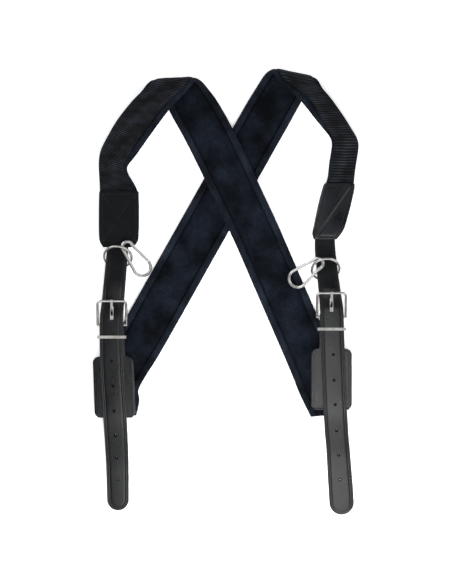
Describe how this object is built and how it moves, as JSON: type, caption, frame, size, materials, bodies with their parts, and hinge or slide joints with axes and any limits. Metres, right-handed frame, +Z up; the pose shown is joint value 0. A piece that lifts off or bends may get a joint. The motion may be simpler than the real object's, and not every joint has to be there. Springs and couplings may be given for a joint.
{
  "type": "tool belt suspenders",
  "caption": "Pair of crossed padded shoulder braces for a tool belt, with leather belt loops, pronged buckles, punched straps, rings and snap hooks.",
  "frame": {"origin": "middle of the bounding box, on the table it lies on", "axes": "+X across, from the left brace to the right one; +Y along, from the strap tips to the shoulder folds; +Z up from the table"},
  "size_m": [0.3728, 0.6264, 0.0302],
  "materials": {
    "velour": "short black plush pile",
    "velour_border": "flatter plush border with a sewn groove",
    "webbing": "ribbed woven webbing",
    "foam": "closed-cell foam",
    "leather": "satin black leather with grain and edge stitching",
    "chrome": "bright nickel plate"
  },
  "bodies": {
    "harness": {"left_pad_liner": "velour", "left_pad_core": "foam", "left_pad_webbing": "webbing", "left_pad_binding": "velour_border", "left_patch_front": "leather", "left_patch_back": "leather", "left_strap": "leather", "left_belt_loop": "leather", "right_pad_liner": "velour", "right_pad_core": "foam", "right_pad_webbing": "webbing", "right_pad_binding": "velour_border", "right_patch_front": "leather", "right_patch_back": "leather", "right_strap": "leather", "right_belt_loop": "leather"},
    "left_buckle": {"left_buckle_frame": "chrome"},
    "left_prong": {"left_buckle_prong": "chrome"},
    "left_keeper": {"left_keeper": "chrome"},
    "left_ring": {"left_ring": "chrome"},
    "left_hook": {"left_hook_body": "chrome", "left_hook_pin": "chrome"},
    "left_gate": {"left_hook_gate": "chrome"},
    "right_buckle": {"right_buckle_frame": "chrome"},
    "right_prong": {"right_buckle_prong": "chrome"},
    "right_keeper": {"right_keeper": "chrome"},
    "right_ring": {"right_ring": "chrome"},
    "right_hook": {"right_hook_body": "chrome", "right_hook_pin": "chrome"},
    "right_gate": {"right_hook_gate": "chrome"}
  },
  "joints": [
    {"name": "left_buckle_tilt", "type": "hinge", "parent": "harness", "child": "left_buckle", "pos_m": [-0.1596, -0.0469, 0.0144], "axis": [1, 0, 0], "range_deg": [0, 10]},
    {"name": "left_prong_lift", "type": "hinge", "parent": "left_buckle", "child": "left_prong", "pos_m": [-0.1596, -0.0469, 0.0144], "axis": [1, 0, 0], "range_deg": [0, 5]},
    {"name": "left_keeper_slide", "type": "slide", "parent": "harness", "child": "left_keeper", "axis": [0, -1, 0], "range_m": [0, 0.012]},
    {"name": "left_ring_slide", "type": "slide", "parent": "harness", "child": "left_ring", "axis": [-0.09, -0.9888, 0.1191], "range_m": [0, 0.028]},
    {"name": "left_hook_swing", "type": "hinge", "parent": "left_ring", "child": "left_hook", "pos_m": [-0.1515, 0.0483, 0.0153], "axis": [-0.0606, -0.6664, 0.7431], "range_deg": [0, 60]},
    {"name": "left_gate_open", "type": "hinge", "parent": "left_hook", "child": "left_gate", "pos_m": [-0.1301, 0.06368, 0.01994], "axis": [-0.2343, 0.0869, -0.9683], "range_deg": [0, 20], "stiffness_Nm_per_rad": 0.004, "springref_deg": -5.73},
    {"name": "right_buckle_tilt", "type": "hinge", "parent": "harness", "child": "right_buckle", "pos_m": [0.1475, -0.0357, 0.0144], "axis": [1, 0, 0], "range_deg": [0, 10]},
    {"name": "right_prong_lift", "type": "hinge", "parent": "right_buckle", "child": "right_prong", "pos_m": [0.1475, -0.0357, 0.0144], "axis": [1, 0, 0], "range_deg": [0, 5]},
    {"name": "right_keeper_slide", "type": "slide", "parent": "harness", "child": "right_keeper", "axis": [0, -1, 0], "range_m": [0, 0.012]},
    {"name": "right_ring_slide", "type": "slide", "parent": "harness", "child": "right_ring", "axis": [0.0883, -0.9889, 0.1191], "range_m": [-0.008, 0.009]},
    {"name": "right_hook_swing", "type": "hinge", "parent": "right_ring", "child": "right_hook", "pos_m": [0.1395, 0.031, 0.0153], "axis": [0.0595, -0.6665, 0.7431], "range_deg": [-60, 0]},
    {"name": "right_gate_open", "type": "hinge", "parent": "right_hook", "child": "right_gate", "pos_m": [0.1294, 0.03096, 0.02157], "axis": [0.2001, 0.073, -0.977], "range_deg": [0, 20], "stiffness_Nm_per_rad": 0.004, "springref_deg": -5.73}
  ]
}
